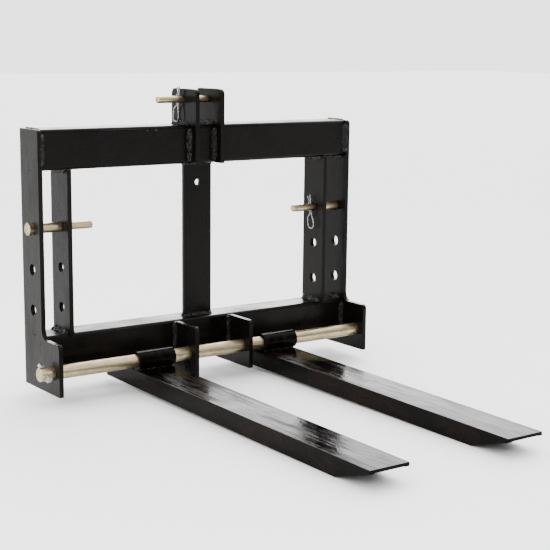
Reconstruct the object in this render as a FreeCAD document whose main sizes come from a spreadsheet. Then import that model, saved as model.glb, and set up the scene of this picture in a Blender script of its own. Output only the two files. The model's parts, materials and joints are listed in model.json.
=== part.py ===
"""Three-point-hitch pallet fork attachment, built as separate welded, pinned and sliding pieces.

Frame: +X runs across the carriage (to the right seen from the forks), the forks point to -Y and
+Z is up. The origin is on the ground, at the middle of the whole object's footprint. Every piece
is sketched about the cross shaft's axis, which is the datum that the carriage and the forks share.
Sizes are millimetres.
"""
import FreeCAD
import Part
import Sketcher
import math
import os
import re

V = FreeCAD.Vector
Rotation = FreeCAD.Rotation

DIMENSIONS = {
    # carriage
    "overall_width": 1000,      # over the outer faces of the end plates
    "plate_thick": 12,          # all the carriage's flat plates
    "plate_back": 160,          # back edge of the end plates, behind the shaft
    "strip_front": 58,          # front edge of the upright strips, behind the shaft
    "foot_front": 38,           # front edge of the feet, ahead of the shaft
    "foot_top": 77,             # above the shaft
    "foot_bottom": 58,          # below the shaft
    "corner_radius": 12,
    "throat_radius": 24,        # inner corner between a strip and its foot
    "beam_width": 104,          # height of both beams
    "beam_depth": 90,
    "beam_wall": 6,
    "beam_corner": 9,
    "beam_front": 66,           # front face of both beams, behind the shaft
    "upper_beam_top": 612,      # above the shaft
    "lower_beam_top": 80,
    "link_gap": 69,             # lower link clevis, between end plate and inner plate
    "inner_plate_back": 154,
    # lower hitch holes and pins
    "hitch_behind": 104,        # behind the shaft
    "hitch_top": 358,           # top hole, above the shaft
    "hitch_pitch": 106,
    "end_hole": 30,
    "inner_hole": 26,
    "pin_body": 27,
    "pin_nose": 20,
    "pin_head": 32,
    "pin_head_length": 13,
    "pin_reach": 328,           # from the middle of the carriage to a lower pin's inner end
    "pin_chamfer": 2,
    "clip_hole": 5.5,
    "clip_hole_inner": 397,     # from the middle of the carriage
    "clip_hole_outer": 335,
    "shoulder_play": 0.5,
    # top link clevis
    "ear_inside": 34,           # half of the gap between the ears
    "ear_back": 160,
    "ear_front": 36,
    "ear_top": 708,
    "ear_radius": 16,
    "top_pin_behind": 108,
    "top_pin_above": 679,
    "top_pin": 19,
    "top_hole": 20,
    "top_pin_left": 124,
    "top_pin_head": 30,
    "top_pin_head_length": 8,
    "top_clip_at": 56,          # from the middle of the carriage to the top pin's clip
    # centre post
    "post_width": 88,
    "post_front": 100,          # behind the shaft
    "post_hole": 17,
    "post_hole_above": 453,
    # middle shaft brackets
    "bracket_inside": 82,       # half of the gap between them
    "bracket_back": 150,
    # cross shaft, held by a cross bolt at its left end and a welded washer at its right end
    "shaft": 36,
    "shaft_left": 538,          # ends of the shaft, from the middle of the carriage
    "shaft_right": 508,
    "shaft_bore": 37,
    "shaft_chamfer": 1.5,
    "washer": 50,
    "washer_thick": 6,
    "washer_play": 0.5,         # to the right end plate
    "bolt": 10,
    "bolt_bore": 10.8,
    "bolt_at": 520,             # from the middle of the carriage
    "bolt_length": 56,
    "bolt_across": 17,
    "bolt_head_thick": 6.5,
    "nut_thick": 8,
    # forks
    "fork_width": 110,
    "fork_offset": 202,         # from the middle of the carriage to a fork's middle
    "fork_reach": 973,          # tip, ahead of the shaft
    "fork_heel": 162,           # heel, behind the shaft
    "fork_flange": 48,
    "fork_droop": 0.65,         # degrees, tips down, with the heels up against the lower beam
    "fork_thick": 8,
    "fork_inner_radius": 7,
    "fork_bevel": 120,          # length of the flanges' sloped ends
    "fork_tip": 9,              # height left at the tip
    "sleeve": 51,
    "sleeve_bore": 36.6,
    "sleeve_play": 0.3,         # between a sleeve and the blade under it
    # spring clips
    "wire": 3.6,
    "clip_clearance": 0.2,      # between the wire and its pin
    "clip_nose": 36,            # from the pin's axis to the tip of the straight leg
    "clip_tail": 62,            # from the pin's axis to the end of the loop
    "clip_loop": 26,            # width of the loop, middle to middle of the wire
}

CROSS_BOLT_TURN = 117           # degrees about the shaft, from straight up to the bolt head
TOP_CLIP_LEAN = 9               # degrees from plumb, of each pin's cross holes and clip
RIGHT_CLIP_LEAN = -8
LEFT_CLIP_LEAN = 5

# The middle of the shaft: the forks' lowest point is on the ground and the footprint is centred
# between the shaft's left end and the head of the right hitch pin.
AXIS_X = "(Sizes.shaft_left - Sizes.overall_width / 2 - Sizes.pin_head_length) / 2"
DROOP = "Sizes.fork_droop * 1deg"
FORK_TOP = "(Sizes.sleeve / 2 + Sizes.sleeve_play)"
FORK_LOW = f"({FORK_TOP} + Sizes.fork_flange)"
AXIS_Y = (f"((Sizes.fork_reach - Sizes.fork_heel) * cos({DROOP})"
          f" - ({FORK_TOP} + {FORK_LOW}) * sin({DROOP})) / 2")
AXIS_Z = (f"{FORK_LOW} * cos({DROOP})"
          f" + (Sizes.fork_reach - Sizes.fork_bevel) * sin({DROOP})")
BEAM_UNDER = "upper_beam_top - beam_width"      # underside of the upper beam
SIDE_PLANE = "YZ_Plane"
FRONT_PLANE = "XZ_Plane"
PLAN_PLANE = "XY_Plane"
THROUGH = 2000.0                # length of a cut that leaves nothing
TOUCH = 0.01                    # tolerance for finding an edge
ALONG_X = V(1, 0, 0)
UP = V(0, 0, 1)

doc = FreeCAD.newDocument("PalletForkAttachment")
sheet = doc.addObject("Spreadsheet::Sheet", "Sizes")
for row, (alias, number) in enumerate(DIMENSIONS.items(), start=1):
    sheet.set(f"A{row}", alias)
    sheet.set(f"B{row}", str(number))
    sheet.setAlias(f"B{row}", alias)
doc.recompute()

parts = []


def bound(text):
    """An expression in the sheet's aliases, as FreeCAD reads it."""
    return re.sub("[a-z_]+", lambda word: f"Sizes.{word[0]}", text)


def size(text):
    """The value of an expression in the sheet's aliases."""
    return float(sheet.evalExpression(bound(text)))


def place(item, across="0", behind="0", up="0", turn=0.0, about_up=0.0):
    """Put an item's own origin at a point taken from the shaft's middle and turn it there."""
    item.Placement = FreeCAD.Placement(V(), Rotation(ALONG_X, turn) * Rotation(UP, about_up))
    item.setExpression("Placement.Base.x", f"{AXIS_X} + {bound(across)}")
    item.setExpression("Placement.Base.y", f"{AXIS_Y} + {bound(behind)}")
    item.setExpression("Placement.Base.z", f"{AXIS_Z} + {bound(up)}")
    item.Label = item.Name
    parts.append(item)


def new_body(name, **where):
    body = doc.addObject("PartDesign::Body", name)
    place(body, **where)
    return body


def new_sketch(body, name, role):
    sketch = body.newObject("Sketcher::SketchObject", name)
    plane = [item for item in body.Origin.OriginFeatures if item.Role == role][0]
    sketch.AttachmentSupport = [(plane, "")]
    sketch.MapMode = "FlatFace"
    sketch.Visibility = False
    return sketch


def drive(sketch, expression, kind, *where):
    """Add a dimension to a sketch and bind it to the sheet."""
    index = sketch.addConstraint(Sketcher.Constraint(kind, *where, size(expression)))
    sketch.setExpression(f"Constraints[{index}]", bound(expression))


def pin_point(sketch, geometry, vertex, across, up):
    """Tie a sketch point to the sketch's origin by two driven distances."""
    drive(sketch, across, "DistanceX", -1, 1, geometry, vertex)
    drive(sketch, up, "DistanceY", -1, 1, geometry, vertex)


def outline(body, name, role, points):
    """Closed outline of straight lines through points given as pairs of expressions."""
    sketch = new_sketch(body, name, role)
    corners = [V(size(across), size(up), 0) for across, up in points]
    following = corners[1:] + corners[:1]
    for start, end in zip(corners, following):
        sketch.addGeometry(Part.LineSegment(start, end), False)
    for index, (across, up) in enumerate(points):
        meets = (index + 1) % len(points)
        sketch.addConstraint(Sketcher.Constraint("Coincident", index, 2, meets, 1))
        pin_point(sketch, index, 1, across, up)
    return sketch


def circles(body, name, role, rings):
    """Sketch of circles, each given as (across, up, diameter) expressions."""
    sketch = new_sketch(body, name, role)
    for index, (across, up, diameter) in enumerate(rings):
        centre = V(size(across), size(up), 0)
        sketch.addGeometry(Part.Circle(centre, UP, size(diameter) / 2), False)
        pin_point(sketch, index, 3, across, up)
        drive(sketch, diameter, "Diameter", index)
    return sketch


def pad(body, sketch, length, middle=False, backwards=False):
    feature = body.newObject("PartDesign::Pad", f"{sketch.Name}_pad")
    feature.Profile = sketch
    feature.SideType = "Symmetric" if middle else "One side"
    feature.Reversed = backwards
    feature.setExpression("Length", bound(length))
    doc.recompute()
    return feature


def pocket(body, sketch):
    """Cut a sketch right through the body, both ways, and check that it removed metal."""
    before = body.Shape.Volume
    feature = body.newObject("PartDesign::Pocket", f"{sketch.Name}_cut")
    feature.Profile = sketch
    feature.SideType = "Symmetric"
    feature.Length = THROUGH
    doc.recompute()
    assert body.Shape.Volume < before - 1.0, f"{sketch.Name} cuts nothing"
    return feature


def dress(body, kind, amount, chosen):
    """Fillet or chamfer the edges that pass a test of their direction and middle point."""
    tip = body.Tip
    names = []
    for number, edge in enumerate(tip.Shape.Edges, start=1):
        middle = edge.valueAt((edge.FirstParameter + edge.LastParameter) / 2)
        if chosen(edge, middle):
            names.append(f"Edge{number}")
    assert names, f"no edge to dress on {body.Label}"
    feature = body.newObject(f"PartDesign::{kind}", f"{tip.Name}_{kind.lower()}")
    feature.Base = (tip, names)
    feature.setExpression("Radius" if kind == "Fillet" else "Size", bound(amount))
    doc.recompute()
    return feature


def runs_across(edge, middle):
    """Test for a straight edge along X."""
    return abs(edge.tangentAt(edge.FirstParameter).x) > 1 - TOUCH


def at_corner(behind, up):
    """Test for an edge along X at a corner of a plate's outline."""
    corner = V(0, size(behind), size(up))

    def test(edge, middle):
        return runs_across(edge, middle) and corner.isEqual(V(0, middle.y, middle.z), TOUCH)
    return test


def ring_at(*places):
    """Test for the circular edges at the given places along a turned piece."""
    distances = [size(place_along) for place_along in places]

    def test(edge, middle):
        near = [distance for distance in distances if abs(middle.x - distance) < TOUCH]
        return hasattr(edge.Curve, "Radius") and bool(near)
    return test


def plate(name, across, points, holes, rounded):
    """Flat plate square to X: an outline, its rounded corners and its holes."""
    body = new_body(name, across=across)
    pad(body, outline(body, f"{name}_outline", SIDE_PLANE, points), "plate_thick")
    for radius, behind, up in rounded:
        dress(body, "Fillet", radius, at_corner(behind, up))
    pocket(body, circles(body, f"{name}_holes", SIDE_PLANE, holes))
    return body


def mirrored(side, inner_face):
    """Where a plate's left face goes, from the distance of its inner face off the middle."""
    return f"-({inner_face}) - plate_thick" if side == "left" else inner_face


def hitch_holes(diameter):
    heights = ("hitch_top", "hitch_top - hitch_pitch", "hitch_top - hitch_pitch * 2")
    return [("hitch_behind", height, diameter) for height in heights]


def beam(name, top):
    """Rectangular tube between the end plates."""
    body = new_body(name)
    low = f"{top} - beam_width"
    back = "beam_front + beam_depth"
    outer = outline(body, f"{name}_outside", SIDE_PLANE,
                    [("beam_front", low), (back, low), (back, top), ("beam_front", top)])
    pad(body, outer, "overall_width - plate_thick * 2", middle=True)
    dress(body, "Fillet", "beam_corner", runs_across)
    near, far = "beam_front + beam_wall", f"{back} - beam_wall"
    floor, roof = f"{low} + beam_wall", f"{top} - beam_wall"
    pocket(body, outline(body, f"{name}_inside", SIDE_PLANE,
                         [(near, floor), (far, floor), (far, roof), (near, roof)]))
    return body


def end_plate(side):
    """Upright strip with a foot that carries the shaft and three hitch holes."""
    points = [("plate_back", "upper_beam_top"), ("strip_front", "upper_beam_top"),
              ("strip_front", "foot_top"), ("-foot_front", "foot_top"),
              ("-foot_front", "-foot_bottom"), ("plate_back", "-foot_bottom")]
    rounded = [("corner_radius", "strip_front", "upper_beam_top"),
               ("throat_radius", "strip_front", "foot_top"),
               ("corner_radius", "-foot_front", "foot_top")]
    holes = hitch_holes("end_hole") + [("0", "0", "shaft_bore")]
    across = mirrored(side, "overall_width / 2 - plate_thick")
    return plate(f"{side}_end_plate", across, points, holes, rounded)


def inner_plate(side):
    """Flat bar between the beams, the inner cheek of a lower link clevis."""
    points = [("strip_front", "lower_beam_top"), ("inner_plate_back", "lower_beam_top"),
              ("inner_plate_back", BEAM_UNDER), ("strip_front", BEAM_UNDER)]
    across = mirrored(side, "overall_width / 2 - plate_thick * 2 - link_gap")
    return plate(f"{side}_inner_plate", across, points, hitch_holes("inner_hole"), [])


def ear(side):
    """Top link ear: a strip down the front of the upper beam and a lug over its top."""
    points = [("ear_back", "upper_beam_top"), ("ear_back", "ear_top"),
              ("ear_front", "ear_top"), ("ear_front", BEAM_UNDER),
              ("beam_front", BEAM_UNDER), ("beam_front", "upper_beam_top")]
    rounded = [("ear_radius", "ear_back", "ear_top"), ("ear_radius", "ear_front", "ear_top")]
    holes = [("top_pin_behind", "top_pin_above", "top_hole")]
    across = mirrored(side, "ear_inside")
    return plate(f"{side}_top_link_ear", across, points, holes, rounded)


def shaft_bracket(side):
    """Middle bracket of the shaft: ahead of the lower beam and back underneath it."""
    under = "lower_beam_top - beam_width"
    points = [("beam_front", "foot_top"), ("-foot_front", "foot_top"),
              ("-foot_front", "-foot_bottom"), ("bracket_back", "-foot_bottom"),
              ("bracket_back", under), ("beam_front", under)]
    rounded = [("corner_radius", "-foot_front", "foot_top")]
    across = mirrored(side, "bracket_inside")
    return plate(f"{side}_shaft_bracket", across, points, [("0", "0", "shaft_bore")], rounded)


def centre_post():
    """Flat bar facing the forks, between the beams, with one hole near its top."""
    body = new_body("centre_post")
    back = "post_front + plate_thick"
    section = outline(body, "post_side", SIDE_PLANE,
                      [("post_front", "lower_beam_top"), (back, "lower_beam_top"),
                       (back, BEAM_UNDER), ("post_front", BEAM_UNDER)])
    pad(body, section, "post_width", middle=True)
    pocket(body, circles(body, "post_hole_ring", FRONT_PLANE,
                         [("0", "post_hole_above", "post_hole")]))
    return body


def turned(name, steps, **where):
    """Round piece along its own X axis, from steps of (start, end, diameter)."""
    body = new_body(name, **where)
    points = [(steps[0][0], "0")]
    for start, end, diameter in steps:
        points += [(start, f"{diameter} / 2"), (end, f"{diameter} / 2")]
    points.append((steps[-1][1], "0"))
    profile = outline(body, f"{name}_profile", PLAN_PLANE, points)
    feature = body.newObject("PartDesign::Revolution", f"{name}_turned")
    feature.Profile = profile
    feature.ReferenceAxis = (profile, ["H_Axis"])
    doc.recompute()
    return body


def lower_pin(side, lean):
    """Stepped hitch pin: outer head, body in the clevis, slimmer nose past the inner plate."""
    outer = "overall_width / 2"
    shoulder = f"{outer} - plate_thick - link_gap + shoulder_play"
    steps = [("pin_reach", shoulder, "pin_nose"),
             (shoulder, outer, "pin_body"),
             (outer, f"{outer} + pin_head_length", "pin_head")]
    name = f"{side}_lower_hitch_pin"
    body = turned(name, steps, behind="hitch_behind", up="hitch_top", turn=lean,
                  about_up=180.0 if side == "left" else 0.0)
    dress(body, "Chamfer", "pin_chamfer", ring_at("pin_reach", f"{outer} + pin_head_length"))
    pocket(body, circles(body, f"{name}_cross_holes", PLAN_PLANE,
                         [("clip_hole_inner", "0", "clip_hole"),
                          ("clip_hole_outer", "0", "clip_hole")]))
    return body


def top_pin():
    """Top link pin, headed at the right ear and clipped outside the left one."""
    outer = "ear_inside + plate_thick"
    steps = [("-top_pin_left", outer, "top_pin"),
             (outer, f"{outer} + top_pin_head_length", "top_pin_head")]
    body = turned("top_link_pin", steps, behind="top_pin_behind", up="top_pin_above",
                  turn=TOP_CLIP_LEAN)
    dress(body, "Chamfer", "pin_chamfer",
          ring_at("-top_pin_left", f"{outer} + top_pin_head_length"))
    pocket(body, circles(body, "top_pin_cross_hole", PLAN_PLANE,
                         [("-top_clip_at", "0", "clip_hole")]))
    return body


def cross_shaft():
    """Plain round shaft with a hole for a cross bolt outside the left end plate."""
    body = turned("cross_shaft", [("-shaft_left", "shaft_right", "shaft")],
                  turn=CROSS_BOLT_TURN)
    dress(body, "Chamfer", "shaft_chamfer", ring_at("-shaft_left", "shaft_right"))
    pocket(body, circles(body, "cross_bolt_hole", PLAN_PLANE,
                         [("-bolt_at", "0", "bolt_bore")]))
    return body


def shaft_end_washer():
    """Thick washer welded round the shaft's right end, outside the right end plate."""
    body = new_body("shaft_end_washer", across="overall_width / 2 + washer_play")
    rings = circles(body, "washer_rings", SIDE_PLANE,
                    [("0", "0", "washer"), ("0", "0", "shaft")])
    pad(body, rings, "washer_thick")
    return body


def hexagon(body, name, across_flats):
    """Regular hexagon about the sketch's origin, on a construction circle."""
    sketch = new_sketch(body, name, PLAN_PLANE)
    corner_circle = f"{across_flats} / {math.cos(math.pi / 6)}"
    radius = size(corner_circle) / 2
    angles = [k * math.pi / 3 for k in range(6)]
    corners = [V(radius * math.cos(a), radius * math.sin(a), 0) for a in angles]
    for start, end in zip(corners, corners[1:] + corners[:1]):
        sketch.addGeometry(Part.LineSegment(start, end), False)
    rim = sketch.addGeometry(Part.Circle(V(), UP, radius), True)
    for k in range(6):
        sketch.addConstraint(Sketcher.Constraint("Coincident", k, 2, (k + 1) % 6, 1))
        sketch.addConstraint(Sketcher.Constraint("PointOnObject", k, 1, rim))
    for k in range(1, 6):
        sketch.addConstraint(Sketcher.Constraint("Equal", 0, k))
    sketch.addConstraint(Sketcher.Constraint("Coincident", rim, 3, -1, 1))
    sketch.addConstraint(Sketcher.Constraint("PointOnObject", 0, 1, -1))
    drive(sketch, corner_circle, "Diameter", rim)
    return sketch


def fastener(name):
    """Body on the shaft's axis whose own Z runs along the cross bolt, towards its head."""
    return new_body(name, across="-bolt_at", turn=CROSS_BOLT_TURN)


def slab(body, sketch, start, length):
    """Pad a sketch along the body's own Z, from a height to that height plus a length."""
    sketch.setExpression("AttachmentOffset.Base.z", bound(start))
    return pad(body, sketch, length)


def cross_bolt():
    """Hexagon bolt through the shaft, with its head bearing on the shaft's front."""
    body = fastener("shaft_cross_bolt")
    slab(body, hexagon(body, "bolt_head", "bolt_across"), "shaft / 2", "bolt_head_thick")
    shank = circles(body, "bolt_shank", PLAN_PLANE, [("0", "0", "bolt")])
    slab(body, shank, "shaft / 2 - bolt_length", "bolt_length")
    return body


def cross_nut():
    """Nut on the bolt's threaded end, against the shaft's back."""
    body = fastener("shaft_cross_nut")
    slab(body, hexagon(body, "nut_body", "bolt_across"), "-shaft / 2 - nut_thick",
         "nut_thick")
    pocket(body, circles(body, "nut_thread", PLAN_PLANE, [("0", "0", "bolt")]))
    return body


def fork_middle(side):
    return "-fork_offset" if side == "left" else "fork_offset"


def fork_sleeve(side):
    """Tube that hangs a fork on the shaft."""
    body = new_body(f"{side}_fork_sleeve", across=fork_middle(side))
    rings = circles(body, f"{side}_sleeve_rings", SIDE_PLANE,
                    [("0", "0", "sleeve"), ("0", "0", "sleeve_bore")])
    pad(body, rings, "fork_width", middle=True)
    return body


def fork_blade(side):
    """Channel with its flanges down; they are cut on a slope to the tip."""
    name = f"{side}_fork_blade"
    body = new_body(name, across=fork_middle(side), turn=size("fork_droop"))
    top = "-sleeve / 2 - sleeve_play"
    low = f"{top} - fork_flange"
    section = outline(body, f"{name}_side", SIDE_PLANE,
                      [("fork_heel", low), ("fork_heel", top), ("-fork_reach", top),
                       ("-fork_reach", f"{top} - fork_tip"),
                       ("-fork_reach + fork_bevel", low)])
    pad(body, section, "fork_width", middle=True)
    right = "fork_width / 2 - fork_thick"
    left = "-fork_width / 2 + fork_thick"
    ceiling = f"{top} - fork_thick"
    below = f"{low} - fork_thick"
    pocket(body, outline(body, f"{name}_trough", FRONT_PLANE,
                         [(left, ceiling), (right, ceiling), (right, below), (left, below)]))
    root = V(size(right), 0, size(ceiling))

    def throat(edge, middle):
        return root.isEqual(V(abs(middle.x), 0, middle.z), TOUCH)
    dress(body, "Fillet", "fork_inner_radius", throat)
    return body


def wire_path(corners, radii):
    """Straight runs through the corners, joined by tangent arcs of the given radii."""
    edges = []
    start = corners[0]
    for before, corner, after, radius in zip(corners, corners[1:], corners[2:], radii):
        to_before = (before - corner).normalize()
        to_after = (after - corner).normalize()
        half_angle = to_before.getAngle(to_after) / 2
        first = corner + to_before * (radius / math.tan(half_angle))
        last = corner + to_after * (radius / math.tan(half_angle))
        inward = (to_before + to_after).normalize()
        middle = corner + inward * (radius / math.sin(half_angle) - radius)
        edges.append(Part.LineSegment(start, first).toShape())
        edges.append(Part.Arc(first, middle, last).toShape())
        start = last
    edges.append(Part.LineSegment(start, corners[-1]).toShape())
    return Part.Wire(edges)


def clip(name, pin, lean, **where):
    """Spring wire clip: a straight leg through the pin, a loop below and a waved leg behind."""
    wire = size("wire")
    hug = size(pin) / 2 + wire / 2 + size("clip_clearance")
    nose, tail, loop = size("clip_nose"), size("clip_tail"), size("clip_loop")
    bulge = loop * 0.72
    belly = loop - bulge
    neck = hug * 0.42
    corners = [
        V(0, 0, nose),
        V(0, 0, -hug * 1.7),
        V(0, -belly, -(hug + tail) * 0.62),
        V(0, -belly * 0.8, -tail),
        V(0, bulge, -tail),
        V(0, bulge * 1.05, -hug * 2.6),
        V(0, neck, -hug * 1.45),
        V(0, hug * 1.28, 0),
        V(0, neck, hug * 1.45),
        V(0, hug, nose * 0.9),
    ]
    radii = [12, 14, 11, 12, 8, 3, hug * 0.95, 4]
    path = wire_path(corners, radii)
    ring = Part.Wire(Part.Circle(corners[0], UP, wire / 2).toShape())
    item = doc.addObject("Part::Feature", name)
    item.Shape = path.makePipeShell([ring], True, False)
    place(item, turn=lean, **where)
    return item


beam("upper_beam", "upper_beam_top")
beam("lower_beam", "lower_beam_top")
centre_post()
cross_shaft()
shaft_end_washer()
cross_bolt()
cross_nut()
for side in ("left", "right"):
    end_plate(side)
    inner_plate(side)
    ear(side)
    shaft_bracket(side)
    fork_sleeve(side)
    fork_blade(side)
lower_pin("left", LEFT_CLIP_LEAN)
lower_pin("right", RIGHT_CLIP_LEAN)
top_pin()
clip("left_pin_clip", "pin_nose", LEFT_CLIP_LEAN, across="-clip_hole_inner",
     behind="hitch_behind", up="hitch_top")
clip("right_pin_clip", "pin_nose", RIGHT_CLIP_LEAN, across="clip_hole_inner",
     behind="hitch_behind", up="hitch_top")
clip("top_pin_clip", "top_pin", TOP_CLIP_LEAN, across="-top_clip_at",
     behind="top_pin_behind", up="top_pin_above")
doc.recompute()

for item in doc.Objects:
    assert not {"Invalid", "Error"} & set(item.State), f"{item.Name}: {item.State}"

os.makedirs("parts", exist_ok=True)
for item in parts:
    shape = item.Shape
    assert not shape.isNull() and shape.isValid(), f"{item.Label} is not a valid shape"
    assert len(shape.Solids) == 1, f"{item.Label} has {len(shape.Solids)} solids"
    shape.exportStep(f"parts/{item.Label}.step")
    box = shape.BoundBox
    print(f"{item.Label:22s} x {box.XMin:8.1f} {box.XMax:8.1f}  y {box.YMin:8.1f} {box.YMax:8.1f}"
          f"  z {box.ZMin:8.1f} {box.ZMax:8.1f}  volume {shape.Volume / 1000:9.1f} cm3")
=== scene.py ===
"""Looks of the pallet fork attachment: black paint, weld beads, steel shaft, pins and clips."""
import json
import math

import bpy
from mathutils import Matrix, Vector, noise


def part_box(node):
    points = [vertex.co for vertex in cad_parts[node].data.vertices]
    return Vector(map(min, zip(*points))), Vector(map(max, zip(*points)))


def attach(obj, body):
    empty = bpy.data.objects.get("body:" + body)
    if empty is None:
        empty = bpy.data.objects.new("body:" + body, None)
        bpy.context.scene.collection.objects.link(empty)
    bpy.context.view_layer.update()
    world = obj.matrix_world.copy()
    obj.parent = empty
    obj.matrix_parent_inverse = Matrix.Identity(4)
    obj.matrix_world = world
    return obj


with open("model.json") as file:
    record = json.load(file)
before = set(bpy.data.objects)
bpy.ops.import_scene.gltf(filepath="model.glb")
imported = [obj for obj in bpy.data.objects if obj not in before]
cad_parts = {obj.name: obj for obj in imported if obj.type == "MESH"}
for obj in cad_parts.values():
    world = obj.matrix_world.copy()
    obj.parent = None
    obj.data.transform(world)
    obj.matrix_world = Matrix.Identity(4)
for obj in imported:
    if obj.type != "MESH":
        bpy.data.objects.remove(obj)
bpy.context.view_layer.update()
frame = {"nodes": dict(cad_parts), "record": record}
NODES = frame["nodes"]
MM = 0.001              # scene units are metres
LOW, HIGH = 0, 1        # ends of a box
X, Y, Z = 0, 1, 2       # across to the right, back, up


def edge(node, axis, end):
    """One coordinate of a CAD node's box: axis X, Y or Z, end LOW or HIGH."""
    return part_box(node)[end][axis]


# ---------------------------------------------------------------- materials

# Each pair is the base colour at the low and at the high end of the material's own noise.
SATIN_BLACK = (0.0019, 0.0016, 0.0014), (0.0046, 0.0036, 0.0030)
GLOSS_BLACK = (0.0008, 0.0006, 0.0005), (0.0048, 0.0028, 0.0020)
WELD_BLACK = (0.003, 0.0028, 0.0027), (0.008, 0.0075, 0.007)
STEEL = (0.27, 0.225, 0.135), (0.43, 0.36, 0.22)
ZINC = (0.36, 0.34, 0.30), (0.66, 0.64, 0.60)
WIRE = (0.17, 0.175, 0.18), (0.34, 0.35, 0.355)
DUST = (0.08, 0.075, 0.07)
FLECK = (0.05, 0.04, 0.035)
STEEL_DENT = (0.10, 0.088, 0.066)
STEEL_PIT = (0.10, 0.085, 0.07)


class Shader:
    """A Principled material and short calls for the procedural maps that feed it."""

    def __init__(self, name, **fixed):
        self.material = bpy.data.materials.new(name)
        self.material.use_nodes = True
        self.tree = self.material.node_tree
        self.surface = self.tree.nodes["Principled BSDF"]
        self.place = self.tree.nodes.new("ShaderNodeTexCoord").outputs["Object"]
        for socket, value in fixed.items():
            self.surface.inputs[socket.replace("_", " ")].default_value = value

    def link(self, source, target):
        self.tree.links.new(source, target)

    def stretched(self, scale):
        """Object coordinates scaled by a different amount along each axis."""
        mapping = self.tree.nodes.new("ShaderNodeMapping")
        mapping.inputs["Scale"].default_value = scale
        self.link(self.place, mapping.inputs["Vector"])
        return mapping.outputs["Vector"]

    def noise(self, scale, detail=3.0, roughness=0.55, distortion=0.0, stretch=(1, 1, 1)):
        """Noise with a scale in cells per metre."""
        texture = self.tree.nodes.new("ShaderNodeTexNoise")
        for socket, value in (("Scale", scale), ("Detail", detail), ("Roughness", roughness),
                              ("Distortion", distortion)):
            texture.inputs[socket].default_value = value
        self.link(self.stretched(stretch), texture.inputs["Vector"])
        return texture.outputs["Fac"]

    def cells(self, scale, stretch=(1, 1, 1)):
        """Distance to the middle of the nearest cell, with a scale in cells per metre."""
        texture = self.tree.nodes.new("ShaderNodeTexVoronoi")
        texture.inputs["Scale"].default_value = scale
        self.link(self.stretched(stretch), texture.inputs["Vector"])
        return texture.outputs["Distance"]

    def ramp(self, value, low, high, start=0.0, end=1.0):
        """Maps low..high of a value to start..end, and holds it outside."""
        node = self.tree.nodes.new("ShaderNodeMapRange")
        node.inputs["From Min"].default_value = low
        node.inputs["From Max"].default_value = high
        node.inputs["To Min"].default_value = start
        node.inputs["To Max"].default_value = end
        self.link(value, node.inputs["Value"])
        return node.outputs["Result"]

    def math(self, operation, first, second):
        """Arithmetic on two values, each a number or a map."""
        node = self.tree.nodes.new("ShaderNodeMath")
        node.operation = operation
        for socket, value in zip(node.inputs, (first, second)):
            if isinstance(value, (int, float)):
                socket.default_value = value
            else:
                self.link(value, socket)
        return node.outputs[0]

    def mix(self, factor, first, second):
        """Mixes two colours, each an (r, g, b) or another mix."""
        node = self.tree.nodes.new("ShaderNodeMix")
        node.data_type = "RGBA"
        self.link(factor, node.inputs["Factor"])
        for socket, value in ((node.inputs[6], first), (node.inputs[7], second)):
            if isinstance(value, tuple):
                socket.default_value = (*value, 1.0)
            else:
                self.link(value, socket)
        return node.outputs[2]

    def colour(self, value):
        self.link(value, self.surface.inputs["Base Color"])

    def roughness(self, value):
        self.link(value, self.surface.inputs["Roughness"])

    def bump(self, *layers):
        """Stacks bumps, each (height map, depth in metres)."""
        normal = None
        for height, depth in layers:
            node = self.tree.nodes.new("ShaderNodeBump")
            node.inputs["Distance"].default_value = depth
            self.link(height, node.inputs["Height"])
            if normal:
                self.link(normal, node.inputs["Normal"])
            normal = node.outputs["Normal"]
        self.link(normal, self.surface.inputs["Normal"])


def satin_paint():
    """Satin black on the carriage's plates and beams: clouds, dust, smears and orange peel."""
    s = Shader("black_paint", IOR=1.45, Specular_IOR_Level=0.08)
    cloud = s.noise(5, detail=5)
    faint_dust = s.math("MULTIPLY", s.ramp(s.noise(900, detail=2), 0.66, 0.74), 0.2)
    s.colour(s.mix(faint_dust, s.mix(s.ramp(cloud, 0.35, 0.7), *SATIN_BLACK), DUST))
    smear = s.noise(22, detail=6, distortion=0.5, stretch=(0.5, 1, 0.25))
    s.roughness(s.ramp(s.math("ADD", cloud, smear), 0.78, 1.22, 0.14, 0.40))
    orange_peel, waviness = s.noise(420, detail=2), s.noise(35, detail=3)
    s.bump((orange_peel, 0.00012), (waviness, 0.0005))
    return s.material


def gloss_paint():
    """Glossy brown-black on the forks and sleeves, clouded and streaked along the forks."""
    s = Shader("gloss_black_paint", IOR=1.5, Specular_IOR_Level=0.035)
    cloud = s.noise(13, detail=8, roughness=0.65, distortion=0.6, stretch=(1.6, 0.6, 1))
    streak = s.noise(90, detail=5, stretch=(1, 0.035, 1))
    faint_fleck = s.math("MULTIPLY", s.ramp(s.noise(260, detail=3), 0.6, 0.72), 0.10)
    s.colour(s.mix(faint_fleck, s.mix(s.ramp(cloud, 0.45, 0.62), *GLOSS_BLACK), FLECK))
    s.roughness(s.ramp(s.math("ADD", cloud, streak), 0.82, 1.2, 0.05, 0.37))
    orange_peel, waviness = s.noise(300, detail=3), s.noise(22, detail=4, stretch=(1, 0.4, 1))
    s.bump((orange_peel, 0.00012), (waviness, 0.0012))
    return s.material


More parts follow.
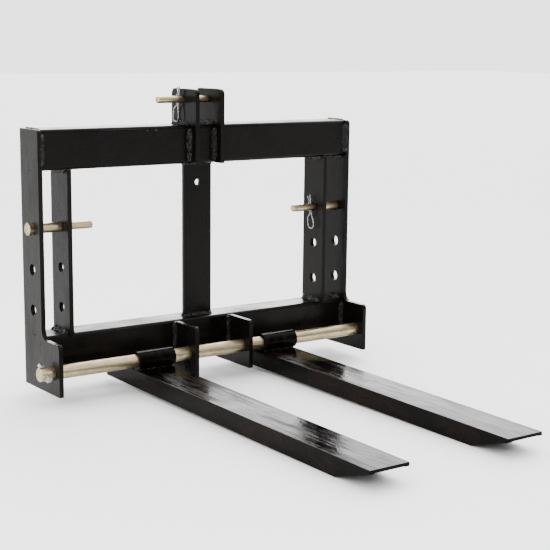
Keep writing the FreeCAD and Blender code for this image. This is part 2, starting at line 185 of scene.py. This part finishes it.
def turned_steel():
    """Shaft and pins, bars along X: turning rings, scores, dents, pits and a mottled film."""
    s = Shader("shaft_steel", Metallic=1.0)
    film = s.noise(48, detail=7, roughness=0.6, distortion=0.4, stretch=(0.8, 1, 1))
    dent = s.ramp(s.noise(130, detail=4, distortion=1.2, stretch=(0.45, 1, 1)), 0.64, 0.70)
    soft_dent = s.math("MULTIPLY", dent, 0.75)
    score = s.noise(420, detail=3, stretch=(0.05, 1, 1))
    rings = s.noise(900, detail=2, stretch=(1, 0.03, 0.03))
    pit = s.ramp(s.cells(420), 0.0, 0.22)
    dented = s.mix(soft_dent, s.mix(s.ramp(film, 0.30, 0.62), *STEEL), STEEL_DENT)
    s.colour(s.mix(pit, STEEL_PIT, dented))
    s.roughness(s.ramp(s.math("ADD", film, score), 0.7, 1.3, 0.44, 0.24))
    s.bump((rings, 0.00008), (score, 0.00006), (film, 0.00012))
    return s.material


def zinc():
    """Zinc plating on the shaft's bolt and nut."""
    s = Shader("zinc_hardware", Metallic=1.0)
    spangle = s.cells(260)
    film = s.noise(120, detail=5)
    s.colour(s.mix(s.ramp(film, 0.35, 0.7), *ZINC))
    s.roughness(s.ramp(spangle, 0.1, 0.7, 0.24, 0.42))
    grain = s.noise(1500, detail=1)
    s.bump((film, 0.0002), (grain, 0.00005))
    return s.material


def wire():
    """Drawn spring wire of the clips."""
    s = Shader("clip_wire", Metallic=1.0)
    drawn = s.noise(1400, detail=2, stretch=(1, 1, 0.04))
    film = s.noise(180, detail=4)
    s.colour(s.mix(s.ramp(film, 0.35, 0.65), *WIRE))
    s.roughness(s.ramp(film, 0.3, 0.7, 0.16, 0.34))
    s.bump((drawn, 0.00006))
    return s.material


def painted_weld():
    """Black paint over weld beads: glossier than the plates, and lumpy."""
    s = Shader("painted_weld", IOR=1.5, Specular_IOR_Level=0.36)
    lump = s.noise(190, detail=2)
    s.colour(s.mix(s.ramp(lump, 0.4, 0.7), *WELD_BLACK))
    s.roughness(s.ramp(lump, 0.3, 0.7, 0.06, 0.14))
    grain = s.noise(900, detail=1)
    s.bump((lump, 0.009), (grain, 0.0004))
    return s.material


FINISH = {
    "black_paint": satin_paint(),
    "gloss_black_paint": gloss_paint(),
    "shaft_steel": turned_steel(),
    "zinc_hardware": zinc(),
    "clip_wire": wire(),
}
WELD = painted_weld()

SLOT_OF = {part["node"]: part["material_slot"] for part in frame["record"]["subparts"]}
SOFT_EDGE = {"black_paint": 0.9 * MM, "gloss_black_paint": 1.2 * MM, "zinc_hardware": 0.4 * MM}
SAME_POINT = 1e-5       # metres: closer vertices are joined before bevelling
SHARP = math.radians(40)            # edges that turn by more than this are bevelled

for node, cad in NODES.items():
    slot = SLOT_OF[node]
    for place in cad.material_slots:
        place.material = FINISH[slot]
    # The sleeves' ends stay sharp.
    if slot in SOFT_EDGE and "sleeve" not in node:
        weld = cad.modifiers.new("joined", "WELD")
        weld.merge_threshold = SAME_POINT
        bevel = cad.modifiers.new("soft_edge", "BEVEL")
        bevel.width = SOFT_EDGE[slot]
        bevel.segments = 2
        bevel.limit_method = "ANGLE"
        bevel.angle_limit = SHARP


# ---------------------------------------------------------------- pieces

def add_piece(name, points, faces, body, material):
    """A smooth mesh piece that rides on a CAD body."""
    mesh = bpy.data.meshes.new(name)
    mesh.from_pydata([tuple(p) for p in points], [], faces)
    mesh.update()
    for face in mesh.polygons:
        face.use_smooth = True
    piece = bpy.data.objects.new(name, mesh)
    bpy.context.scene.collection.objects.link(piece)
    mesh.materials.append(material)
    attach(piece, body)


RIPPLE = 5.6 * MM       # pitch of a bead's ripples
STEP = 0.7 * MM         # distance between a bead's cross-sections
FEWEST_STEPS = 6        # in the shortest bead
SIDES = 20              # corners of a cross-section
FLATNESS = 1.25         # 2 for a round bead, 1 for one with a flat face
BLUNT = 0.15            # size of a bead's very end, as a share of its full size

# Shares of a bead's leg: its radius between ripples, then how much the ripples, the drift in
# width, the lumps and the sideways wander change it.
WAIST, SWELL, DRIFT, LUMP, WANDER = 0.72, 0.32, 0.26, 0.34, 0.12
# Noise cells per metre along a bead, and per radian round it.
DRIFT_RATE, LUMP_RATE, WANDER_RATE, LUMPS_ROUND = 70, 190, 45, 1.8
# Where each bead looks in the noise, so that no two are alike.
DRIFT_SEED, WANDER_SEED, WANDER_LAYER = 7.1, 3.3, 9.0


def bead_mesh(start, end, size, seed):
    """Vertices and faces of a rippled fillet weld along a world axis, rounded at its ends."""
    along = end - start
    length = along.length
    along.normalize()
    side, other = [Vector(axis) for axis in ((1, 0, 0), (0, 1, 0), (0, 0, 1))
                   if abs(along.dot(Vector(axis))) < 0.5]
    count = max(int(length / STEP), FEWEST_STEPS)
    points, faces = [], []
    for k in range(count + 1):
        travelled = length * k / count
        to_end = max(min(travelled, length - travelled), 0.0)
        taper = min(1.0, math.sqrt(to_end / size) + BLUNT)
        wave = abs(math.sin(math.pi * travelled / RIPPLE + seed))
        drift = noise.noise(Vector((travelled * DRIFT_RATE, seed * DRIFT_SEED, 0.0)))
        sway = noise.noise(Vector((travelled * WANDER_RATE, seed * WANDER_SEED, WANDER_LAYER)))
        radius = size * taper * (WAIST + SWELL * wave + DRIFT * drift)
        centre = start + along * travelled + (side - other) * (sway * size * WANDER)
        for turn in range(SIDES):
            angle = 2 * math.pi * turn / SIDES
            sine, cosine = math.sin(angle), math.cos(angle)
            face = (abs(sine) ** FLATNESS + abs(cosine) ** FLATNESS) ** (-1 / FLATNESS)
            spot = Vector((travelled * LUMP_RATE, angle * LUMPS_ROUND, seed))
            lump = 1 + LUMP * noise.noise(spot)
            points.append(centre + (side * cosine + other * sine) * radius * face * lump)
    for k in range(count):
        for turn in range(SIDES):
            after = (turn + 1) % SIDES
            low, high = k * SIDES, (k + 1) * SIDES
            faces.append((low + turn, low + after, high + after, high + turn))
    faces.append(tuple(range(SIDES))[::-1])
    faces.append(tuple(count * SIDES + turn for turn in range(SIDES)))
    return points, faces


def beads(name, runs, size, body):
    """Several weld beads as one piece: runs are (start, end) pairs, size is a bead's leg."""
    points, faces = [], []
    for seed, (start, end) in enumerate(runs):
        more_points, more_faces = bead_mesh(Vector(start), Vector(end), size, seed + len(name))
        shift = len(points)
        points += more_points
        faces += [tuple(index + shift for index in face) for face in more_faces]
    add_piece(name, points, faces, body, WELD)


UPPER_FRONT, UPPER_BACK = edge("upper_beam", Y, LOW), edge("upper_beam", Y, HIGH)
UPPER_UNDER, UPPER_TOP = edge("upper_beam", Z, LOW), edge("upper_beam", Z, HIGH)
LOWER_UNDER, LOWER_TOP = edge("lower_beam", Z, LOW), edge("lower_beam", Z, HIGH)
TUBE_CORNER = 9 * MM    # outside radius of the beams' corners
FILLET = 11 * MM        # leg of the welds of the end plates, inner plates and ears
SMALL_FILLET = 8 * MM   # leg of the centre post's and the shaft brackets' welds
CAP_FILLET = 4 * MM     # leg of the end plates' welds along the top of the upper beam
PLATE_FRONT_INSET = 10 * MM         # from an inner plate's front edge to its welds
PLATE_BACK_INSET = 3 * MM           # from its back edge
EAR_RISE = 6 * MM       # from the upper beam's underside up to an ear's welds
EAR_BACK_INSET = 8 * MM             # from an ear's back edge to its welds
POST_WRAP = 3 * MM      # how far the post's welds run past its edges
SLEEVE_FILLET = 4 * MM  # leg of the two welds along the underside of a fork's sleeve
SLEEVE_INSET = 4 * MM   # from the sleeve's ends to its welds
SLEEVE_RISE = 2.2 * MM  # from the sleeve's lowest line up to its welds
SLEEVE_SPREAD = 11 * MM             # from the sleeve's lowest line out to each weld
SPATTER_SIZE = 2.4 * MM # leg of a spot of spatter
# Spots of spatter: out from the left ear, down from the beam's top, length.
SPATTER = ((136 * MM, 11 * MM, 7 * MM),
           (110 * MM, 11 * MM, 10 * MM))


def upright(x, y, low, high):
    """A vertical run."""
    return (x, y, low), (x, y, high)


def crosswise(low, high, y, z):
    """A run from left to right."""
    return (low, y, z), (high, y, z)


def lengthwise(x, front, back, z):
    """A run from front to back."""
    return (x, front, z), (x, back, z)


for side in ("left", "right"):
    inner_end = HIGH if side == "left" else LOW

    x = edge(f"{side}_end_plate", X, inner_end)
    front, back = UPPER_FRONT + TUBE_CORNER, UPPER_BACK - TUBE_CORNER
    runs = []
    for under, top in ((UPPER_UNDER, UPPER_TOP), (LOWER_UNDER, LOWER_TOP)):
        runs += [upright(x, UPPER_FRONT, under + TUBE_CORNER, top - TUBE_CORNER),
                 upright(x, UPPER_BACK, under + TUBE_CORNER, top - TUBE_CORNER)]
    for z in (UPPER_UNDER, LOWER_TOP):
        runs.append(lengthwise(x, front, back, z))
    cap = [lengthwise(x, front, back, UPPER_TOP)]
    beads(f"{side}_end_plate_cap_weld", cap, CAP_FILLET, "carriage")
    beads(f"{side}_end_plate_welds", runs, FILLET, "carriage")

    plate = f"{side}_inner_plate"
    front, back = edge(plate, Y, LOW) + PLATE_FRONT_INSET, edge(plate, Y, HIGH) - PLATE_BACK_INSET
    runs = [lengthwise(edge(plate, X, end), front, back, z)
            for end in (LOW, HIGH) for z in (LOWER_TOP, UPPER_UNDER)]
    beads(f"{side}_inner_plate_welds", runs, FILLET, "carriage")

    ear = f"{side}_top_link_ear"
    low, back = UPPER_UNDER + EAR_RISE, edge(ear, Y, HIGH) - EAR_BACK_INSET
    runs = []
    for x in (edge(ear, X, LOW), edge(ear, X, HIGH)):
        runs += [upright(x, UPPER_FRONT, low, UPPER_TOP - TUBE_CORNER),
                 lengthwise(x, UPPER_FRONT + TUBE_CORNER, back, UPPER_TOP)]
    beads(f"{side}_top_link_ear_welds", runs, FILLET, "carriage")

    bracket = f"{side}_shaft_bracket"
    low, high = LOWER_UNDER + TUBE_CORNER, edge(bracket, Z, HIGH)
    runs = [upright(edge(bracket, X, end), UPPER_FRONT, low, high) for end in (LOW, HIGH)]
    # Under the beam only the face away from the fork is welded, to leave room for its heel.
    front, back = UPPER_FRONT + TUBE_CORNER, edge(bracket, Y, HIGH)
    runs.append(lengthwise(edge(bracket, X, inner_end), front, back, LOWER_UNDER))
    beads(f"{side}_shaft_bracket_welds", runs, SMALL_FILLET, "carriage")

    tube_low, tube_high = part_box(f"{side}_fork_sleeve")
    middle_y = (tube_low.y + tube_high.y) / 2
    low, high = tube_low.x + SLEEVE_INSET, tube_high.x - SLEEVE_INSET
    runs = [crosswise(low, high, middle_y + spread, tube_low.z + SLEEVE_RISE)
            for spread in (-SLEEVE_SPREAD, SLEEVE_SPREAD)]
    beads(f"{side}_fork_sleeve_welds", runs, SLEEVE_FILLET, f"{side}_fork")

low, high = edge("centre_post", X, LOW) - POST_WRAP, edge("centre_post", X, HIGH) + POST_WRAP
runs = [crosswise(low, high, y, z)
        for y in (edge("centre_post", Y, LOW), edge("centre_post", Y, HIGH))
        for z in (LOWER_TOP, UPPER_UNDER)]
beads("centre_post_welds", runs, SMALL_FILLET, "carriage")

ear_edge = edge("left_top_link_ear", X, LOW)
runs = [crosswise(ear_edge - out, ear_edge - out + length, UPPER_FRONT, UPPER_TOP - down)
        for out, down, length in SPATTER]
beads("upper_beam_spatter", runs, SPATTER_SIZE, "carriage")


# ---------------------------------------------------------------- camera, floor and light

AZIMUTH, ELEVATION, ROLL = math.radians(-35.83), math.radians(10.96), math.radians(0.644)
FROM_SHAFT = Vector((-1.9631, -2.9995, 0.8382))     # metres, from the shaft at mid-carriage
FOCAL_LENGTH, SENSOR_WIDTH = 87.05, 36.0            # mm
SHIFT_RIGHT, SHIFT_UP = -0.0038, 0.042              # shares of the picture's width

middle = (edge("left_end_plate", X, LOW) + edge("right_end_plate", X, HIGH)) / 2
shaft_low, shaft_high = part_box("cross_shaft")
shaft_centre = (shaft_low + shaft_high) / 2
stand = Vector((middle, shaft_centre.y, shaft_centre.z)) + FROM_SHAFT

away = Vector((math.sin(AZIMUTH) * math.cos(ELEVATION),
               -math.cos(AZIMUTH) * math.cos(ELEVATION), math.sin(ELEVATION)))
level = Vector((math.cos(AZIMUTH), math.sin(AZIMUTH), 0))
plumb = away.cross(level)
across = math.cos(ROLL) * level + math.sin(ROLL) * plumb
upward = math.cos(ROLL) * plumb - math.sin(ROLL) * level
turned = Matrix((across, upward, away)).transposed().to_4x4()

lens = bpy.data.cameras.new("camera")
lens.lens = FOCAL_LENGTH
lens.sensor_width = SENSOR_WIDTH
lens.shift_x, lens.shift_y = SHIFT_RIGHT, SHIFT_UP
camera = bpy.data.objects.new("camera", lens)
bpy.context.scene.collection.objects.link(camera)
camera.matrix_world = Matrix.Translation(stand) @ turned
bpy.context.scene.camera = camera


def area_light(name, place, target, size, power, colour=(1, 1, 1)):
    """A rectangular lamp at a place, facing a target, with its power in watts."""
    lamp = bpy.data.lights.new(name, "AREA")
    lamp.shape = "RECTANGLE"
    lamp.size, lamp.size_y = size
    lamp.energy = power
    lamp.color = colour
    item = bpy.data.objects.new(name, lamp)
    bpy.context.scene.collection.objects.link(item)
    item.location = place
    item.rotation_euler = (Vector(target) - Vector(place)).to_track_quat("-Z", "Y").to_euler()


WARM = (1.0, 0.93, 0.85)
area_light("key", place=(-3.4, 0.6, 2.0), target=(0, 0.3, 0.3), size=(1.6, 1.4), power=50,
           colour=WARM)
area_light("fill", place=(1.2, -3.6, 2.6), target=(0, 0.2, 0.3), size=(0.6, 0.6), power=40)
area_light("top", place=(0.0, 0.6, 3.4), target=(0, 0.2, 0.0), size=(2.0, 2.0), power=20)
area_light("strip", place=(-3.2, -1.6, 1.4), target=(0, 0.3, 0.3), size=(0.5, 1.6), power=60)

world = bpy.data.worlds.new("studio")
world.use_nodes = True
sky = world.node_tree


def glow(direction, start, full, strength, dim=0.0):
    """Brightness of a soft panel of the surround, by the direction looked in.

    It rises from dim to strength as the cosine of the angle to the panel's direction goes from
    start to full.
    """
    look = sky.nodes.new("ShaderNodeTexCoord")
    facing = sky.nodes.new("ShaderNodeVectorMath")
    facing.operation = "DOT_PRODUCT"
    facing.inputs[1].default_value = Vector(direction).normalized()
    sky.links.new(look.outputs["Generated"], facing.inputs[0])
    soft = sky.nodes.new("ShaderNodeMapRange")
    soft.interpolation_type = "SMOOTHSTEP"
    for socket, value in (("From Min", start), ("From Max", full), ("To Min", dim),
                          ("To Max", strength)):
        soft.inputs[socket].default_value = value
    sky.links.new(facing.outputs["Value"], soft.inputs["Value"])
    return soft.outputs["Result"]


def combined(operation, first, second):
    """The sum or product of two brightnesses."""
    node = sky.nodes.new("ShaderNodeMath")
    node.operation = operation
    sky.links.new(first, node.inputs[0])
    sky.links.new(second, node.inputs[1])
    return node.outputs[0]


UP = (0, 0, 1)
# A pale surround behind, a bright band above the horizon that the flat tops reflect, weak light
# from the left and an overhead panel for the floor.
surround = glow((0.6, 0.8, 0.1), start=-0.1, full=0.75, strength=2.75, dim=0.5)
behind = glow((0.65, 0.76, 0), start=0.5, full=0.88, strength=8.0)
above_horizon = glow(UP, start=0.05, full=0.22, strength=1.0)
from_left = glow((-1.0, 0.1, 0.3), start=0.1, full=0.9, strength=0.3)
overhead = glow(UP, start=0.4, full=0.9, strength=2.2)
total = combined("ADD", surround, combined("MULTIPLY", behind, above_horizon))
total = combined("ADD", total, from_left)
total = combined("ADD", total, overhead)
backdrop = sky.nodes["Background"]
backdrop.inputs["Color"].default_value = (1, 1, 1, 1)
sky.links.new(total, backdrop.inputs["Strength"])
bpy.context.scene.world = world

FLOOR_REACH = 30        # metres each way
FLOOR_DROP = 0.5 * MM   # gap between the forks and the floor
FLOOR_PALE = (0.82, 0.82, 0.82, 1)

corners = [(x * FLOOR_REACH, y * FLOOR_REACH, 0) for x, y in ((-1, -1), (1, -1), (1, 1), (-1, 1))]
floor_mesh = bpy.data.meshes.new("floor")
floor_mesh.from_pydata(corners, [], [(0, 1, 2, 3)])
floor = bpy.data.objects.new("floor", floor_mesh)
bpy.context.scene.collection.objects.link(floor)
pale = Shader("floor", Roughness=0.75)
pale.surface.inputs["Base Color"].default_value = FLOOR_PALE
floor_mesh.materials.append(pale.material)
floor.location.z = -FLOOR_DROP
